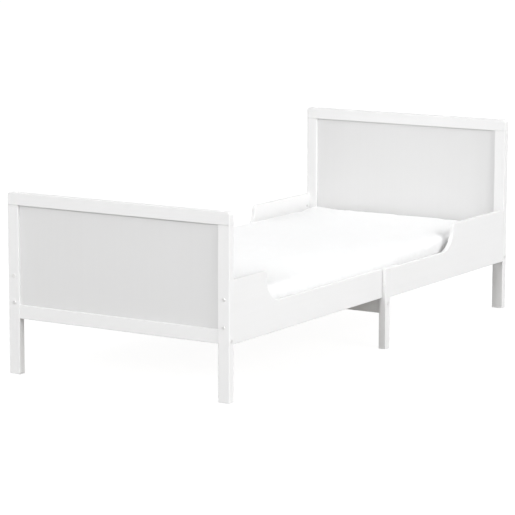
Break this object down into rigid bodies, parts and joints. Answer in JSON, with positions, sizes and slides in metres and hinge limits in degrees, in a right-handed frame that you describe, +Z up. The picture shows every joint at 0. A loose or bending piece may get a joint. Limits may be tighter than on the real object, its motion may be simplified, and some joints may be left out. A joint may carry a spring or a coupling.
{
  "type": "extendable children's bed",
  "caption": "White lacquered children's bed that telescopes in length, with panelled ends, stepped side guards, a slatted base and a sheeted mattress.",
  "frame": {"origin": "on the floor, under the middle of the bed's bounding box at full length", "axes": "+Z up, +Y along the bed towards the head, +X across towards the bed's left-hand sleeper side"},
  "size_m": [0.9132, 2.0632, 0.7576],
  "materials": {
    "painted_wood": "white lacquer, satin",
    "painted_panel": "white lacquered board, satin",
    "slat_wood": "planed pine, unpainted",
    "dowel_wood": "plain beech",
    "bolt_steel": "nickel plated",
    "zinc_steel": "zinc plated",
    "webbing": "woven polyester webbing",
    "mattress_foam": "knitted ticking over foam",
    "sheet_fabric": "plain white cotton"
  },
  "bodies": {
    "head_section": {"head_post_left": "painted_wood", "head_post_right": "painted_wood", "head_top_rail": "painted_wood", "head_lower_rail": "painted_wood", "head_panel": "painted_panel", "head_side_board_left": "painted_wood", "head_side_board_right": "painted_wood", "mid_leg_left": "painted_wood", "mid_leg_right": "painted_wood", "mid_crossbeam": "painted_wood", "slat_bearer_left": "painted_wood", "slat_bearer_right": "painted_wood", "head_corner_bolts": "bolt_steel", "head_rail_bolts": "bolt_steel", "mid_leg_bolts": "bolt_steel", "bearer_bolts": "bolt_steel", "head_barrel_nuts": "zinc_steel", "head_dowels": "dowel_wood", "bearer_screws": "zinc_steel", "head_slat_screws": "zinc_steel", "slat_16": "slat_wood", "slat_strap_left": "webbing", "slat_strap_right": "webbing", "mattress": "mattress_foam", "fitted_sheet": "sheet_fabric"},
    "foot_section": {"foot_post_left": "painted_wood", "foot_post_right": "painted_wood", "foot_top_rail": "painted_wood", "foot_lower_rail": "painted_wood", "foot_panel": "painted_panel", "foot_side_board_left": "painted_wood", "foot_side_board_right": "painted_wood", "foot_slat_ledge_left": "painted_wood", "foot_slat_ledge_right": "painted_wood", "foot_corner_bolts": "bolt_steel", "foot_rail_bolts": "bolt_steel", "foot_barrel_nuts": "zinc_steel", "foot_dowels": "dowel_wood", "foot_ledge_screws": "zinc_steel", "foot_slat_screws": "zinc_steel", "slat_01": "slat_wood"},
    "slat_02_body": {"slat_02": "slat_wood"},
    "slat_03_body": {"slat_03": "slat_wood"},
    "slat_04_body": {"slat_04": "slat_wood"},
    "slat_05_body": {"slat_05": "slat_wood"},
    "slat_06_body": {"slat_06": "slat_wood"},
    "slat_07_body": {"slat_07": "slat_wood"},
    "slat_08_body": {"slat_08": "slat_wood"},
    "slat_09_body": {"slat_09": "slat_wood"},
    "slat_10_body": {"slat_10": "slat_wood"},
    "slat_11_body": {"slat_11": "slat_wood"},
    "slat_12_body": {"slat_12": "slat_wood"},
    "slat_13_body": {"slat_13": "slat_wood"},
    "slat_14_body": {"slat_14": "slat_wood"},
    "slat_15_body": {"slat_15": "slat_wood"}
  },
  "joints": [
    {"name": "bed_extension", "type": "slide", "parent": "head_section", "child": "foot_section", "axis": [0, 1, 0], "range_m": [0, 0.7], "deforming": ["mattress", "fitted_sheet", "slat_strap_left", "slat_strap_right"]},
    {"name": "slat_02_slide", "type": "slide", "parent": "head_section", "child": "slat_02_body", "axis": [0, 1, 0], "range_m": [0, 0.6543]},
    {"name": "slat_03_slide", "type": "slide", "parent": "head_section", "child": "slat_03_body", "axis": [0, 1, 0], "range_m": [0, 0.6077]},
    {"name": "slat_04_slide", "type": "slide", "parent": "head_section", "child": "slat_04_body", "axis": [0, 1, 0], "range_m": [0, 0.561]},
    {"name": "slat_05_slide", "type": "slide", "parent": "head_section", "child": "slat_05_body", "axis": [0, 1, 0], "range_m": [0, 0.5143]},
    {"name": "slat_06_slide", "type": "slide", "parent": "head_section", "child": "slat_06_body", "axis": [0, 1, 0], "range_m": [0, 0.4677]},
    {"name": "slat_07_slide", "type": "slide", "parent": "head_section", "child": "slat_07_body", "axis": [0, 1, 0], "range_m": [0, 0.421]},
    {"name": "slat_08_slide", "type": "slide", "parent": "head_section", "child": "slat_08_body", "axis": [0, 1, 0], "range_m": [0, 0.3743]},
    {"name": "slat_09_slide", "type": "slide", "parent": "head_section", "child": "slat_09_body", "axis": [0, 1, 0], "range_m": [0, 0.3277]},
    {"name": "slat_10_slide", "type": "slide", "parent": "head_section", "child": "slat_10_body", "axis": [0, 1, 0], "range_m": [0, 0.281]},
    {"name": "slat_11_slide", "type": "slide", "parent": "head_section", "child": "slat_11_body", "axis": [0, 1, 0], "range_m": [0, 0.2343]},
    {"name": "slat_12_slide", "type": "slide", "parent": "head_section", "child": "slat_12_body", "axis": [0, 1, 0], "range_m": [0, 0.1877]},
    {"name": "slat_13_slide", "type": "slide", "parent": "head_section", "child": "slat_13_body", "axis": [0, 1, 0], "range_m": [0, 0.141]},
    {"name": "slat_14_slide", "type": "slide", "parent": "head_section", "child": "slat_14_body", "axis": [0, 1, 0], "range_m": [0, 0.0943]},
    {"name": "slat_15_slide", "type": "slide", "parent": "head_section", "child": "slat_15_body", "axis": [0, 1, 0], "range_m": [0, 0.0477]}
  ],
  "couplings": [
    {"joint": "slat_02_slide", "follows": "bed_extension", "ratio": 0.93333},
    {"joint": "slat_03_slide", "follows": "bed_extension", "ratio": 0.86667},
    {"joint": "slat_04_slide", "follows": "bed_extension", "ratio": 0.8},
    {"joint": "slat_05_slide", "follows": "bed_extension", "ratio": 0.73333},
    {"joint": "slat_06_slide", "follows": "bed_extension", "ratio": 0.66667},
    {"joint": "slat_07_slide", "follows": "bed_extension", "ratio": 0.6},
    {"joint": "slat_08_slide", "follows": "bed_extension", "ratio": 0.53333},
    {"joint": "slat_09_slide", "follows": "bed_extension", "ratio": 0.46667},
    {"joint": "slat_10_slide", "follows": "bed_extension", "ratio": 0.4},
    {"joint": "slat_11_slide", "follows": "bed_extension", "ratio": 0.33333},
    {"joint": "slat_12_slide", "follows": "bed_extension", "ratio": 0.26667},
    {"joint": "slat_13_slide", "follows": "bed_extension", "ratio": 0.2},
    {"joint": "slat_14_slide", "follows": "bed_extension", "ratio": 0.13333},
    {"joint": "slat_15_slide", "follows": "bed_extension", "ratio": 0.066667}
  ]
}
